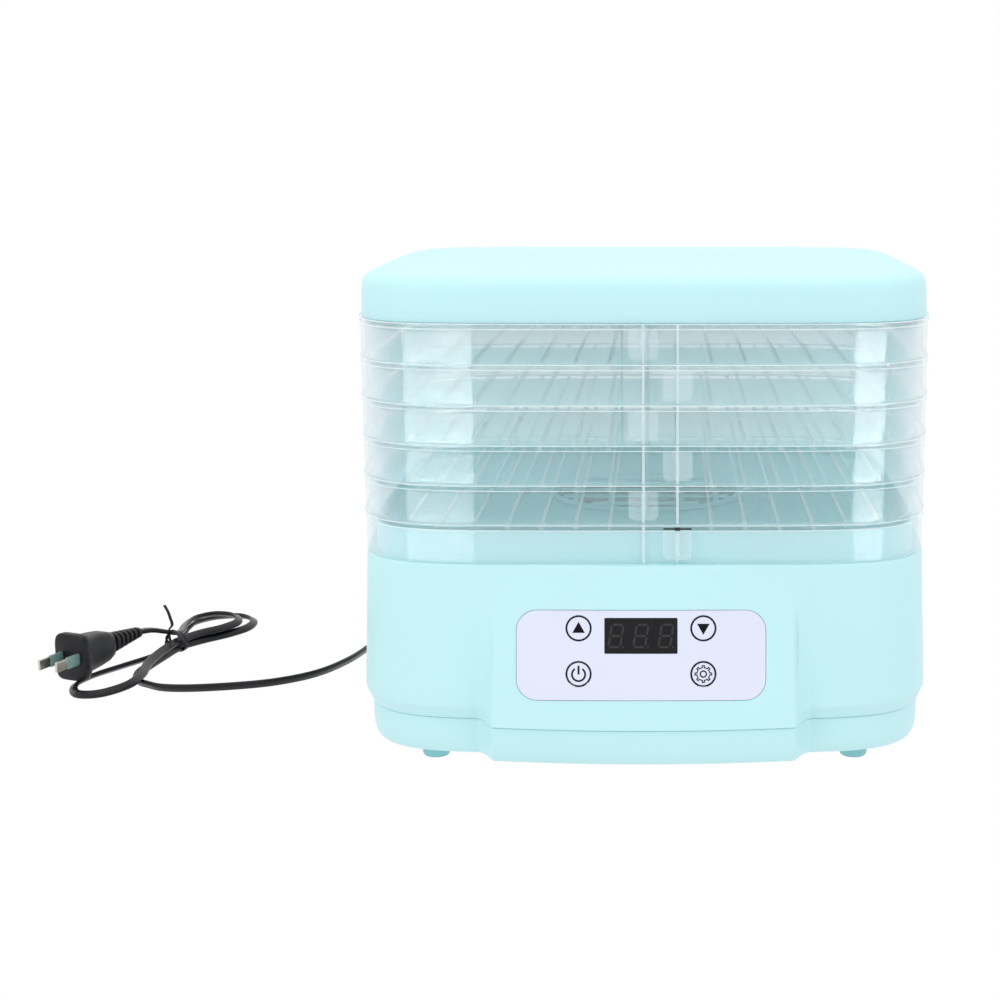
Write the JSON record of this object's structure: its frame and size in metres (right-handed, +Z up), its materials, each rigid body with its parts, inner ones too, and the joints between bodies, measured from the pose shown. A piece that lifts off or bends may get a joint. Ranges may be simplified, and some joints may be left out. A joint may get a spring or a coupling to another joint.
{
  "type": "food dehydrator",
  "caption": "Countertop food dehydrator: clear stacking trays under a lid, on a base with a fan, heater and front control panel.",
  "frame": {"origin": "middle of the body's footprint, on the surface that the feet stand on", "axes": "+Z up, -Y towards the control panel, +X to the right as seen from the front"},
  "size_m": [0.5186, 0.3779, 0.26],
  "materials": {
    "mint": "satin moulded",
    "foot": "matte",
    "clear_plastic": "clear polished",
    "panel": "satin film",
    "button": "satin film",
    "window": "dark gloss",
    "dark_plastic": "matte",
    "circuit_board": "solder mask",
    "steel": "satin",
    "screw": "zinc plated",
    "brass": "nickel-plated brass",
    "mica": "matte",
    "cord": "satin PVC",
    "plug": "satin PVC"
  },
  "bodies": {
    "root": {"base_housing": "mint", "bottom_cover": "mint", "foot_front_left": "foot", "foot_front_right": "foot", "foot_rear_left": "foot", "foot_rear_right": "foot", "cover_screw_1": "screw", "cover_screw_2": "screw", "cover_screw_3": "screw", "cover_screw_4": "screw", "air_grille": "dark_plastic", "air_duct": "dark_plastic", "motor_bracket": "steel", "fan_motor": "steel", "motor_shaft": "steel", "heater_frame": "mica", "heating_element": "steel", "thermal_cutout": "steel", "temperature_sensor": "steel", "control_panel": "panel", "display_window": "window", "display_module": "dark_plastic", "control_board": "circuit_board", "switch_up": "steel", "switch_down": "steel", "switch_power": "steel", "switch_settings": "steel", "power_board": "circuit_board", "transformer": "dark_plastic", "relay": "dark_plastic", "cord_gland": "cord", "cord_lead": "cord", "cord_hank": "cord", "cord_tail": "cord", "cord_tie": "cord", "plug_body": "plug", "plug_strain_relief": "plug", "plug_blade_left": "brass", "plug_blade_right": "brass"},
    "fan": {"fan_impeller": "dark_plastic"},
    "button_up": {"button_up": "button"},
    "button_down": {"button_down": "button"},
    "button_power": {"button_power": "button"},
    "button_settings": {"button_settings": "button"},
    "lid": {"lid": "mint"},
    "tray_1": {"tray_1": "clear_plastic"},
    "tray_2": {"tray_2": "clear_plastic"},
    "tray_3": {"tray_3": "clear_plastic"},
    "tray_4": {"tray_4": "clear_plastic"},
    "tray_5": {"tray_5": "clear_plastic"},
    "tray_6": {"tray_6": "clear_plastic"}
  },
  "joints": [
    {"name": "fan_spin", "type": "hinge", "parent": "root", "child": "fan", "pos_m": [0, 0.00855, 0.094], "axis": [0, 0, 1], "continuous": true},
    {"name": "press_up", "type": "slide", "parent": "root", "child": "button_up", "axis": [0, 0.9794, -0.202], "range_m": [0, 0.0003], "stiffness_N_per_m": 5000},
    {"name": "press_down", "type": "slide", "parent": "root", "child": "button_down", "axis": [0, 0.9794, -0.202], "range_m": [0, 0.0003], "stiffness_N_per_m": 5000},
    {"name": "press_power", "type": "slide", "parent": "root", "child": "button_power", "axis": [0, 0.9794, -0.202], "range_m": [0, 0.0003], "stiffness_N_per_m": 5000},
    {"name": "press_settings", "type": "slide", "parent": "root", "child": "button_settings", "axis": [0, 0.9794, -0.202], "range_m": [0, 0.0003], "stiffness_N_per_m": 5000},
    {"name": "lift_tray_1", "type": "slide", "parent": "root", "child": "tray_1", "axis": [0, 0, 1], "range_m": [0, 0.05]},
    {"name": "lift_tray_2", "type": "slide", "parent": "tray_1", "child": "tray_2", "axis": [0, 0, 1], "range_m": [0, 0.05]},
    {"name": "lift_tray_3", "type": "slide", "parent": "tray_2", "child": "tray_3", "axis": [0, 0, 1], "range_m": [0, 0.05]},
    {"name": "lift_tray_4", "type": "slide", "parent": "tray_3", "child": "tray_4", "axis": [0, 0, 1], "range_m": [0, 0.05]},
    {"name": "lift_tray_5", "type": "slide", "parent": "tray_4", "child": "tray_5", "axis": [0, 0, 1], "range_m": [0, 0.05]},
    {"name": "lift_tray_6", "type": "slide", "parent": "tray_5", "child": "tray_6", "axis": [0, 0, 1], "range_m": [0, 0.05]},
    {"name": "lift_lid", "type": "slide", "parent": "tray_6", "child": "lid", "axis": [0, 0, 1], "range_m": [0, 0.05]}
  ]
}
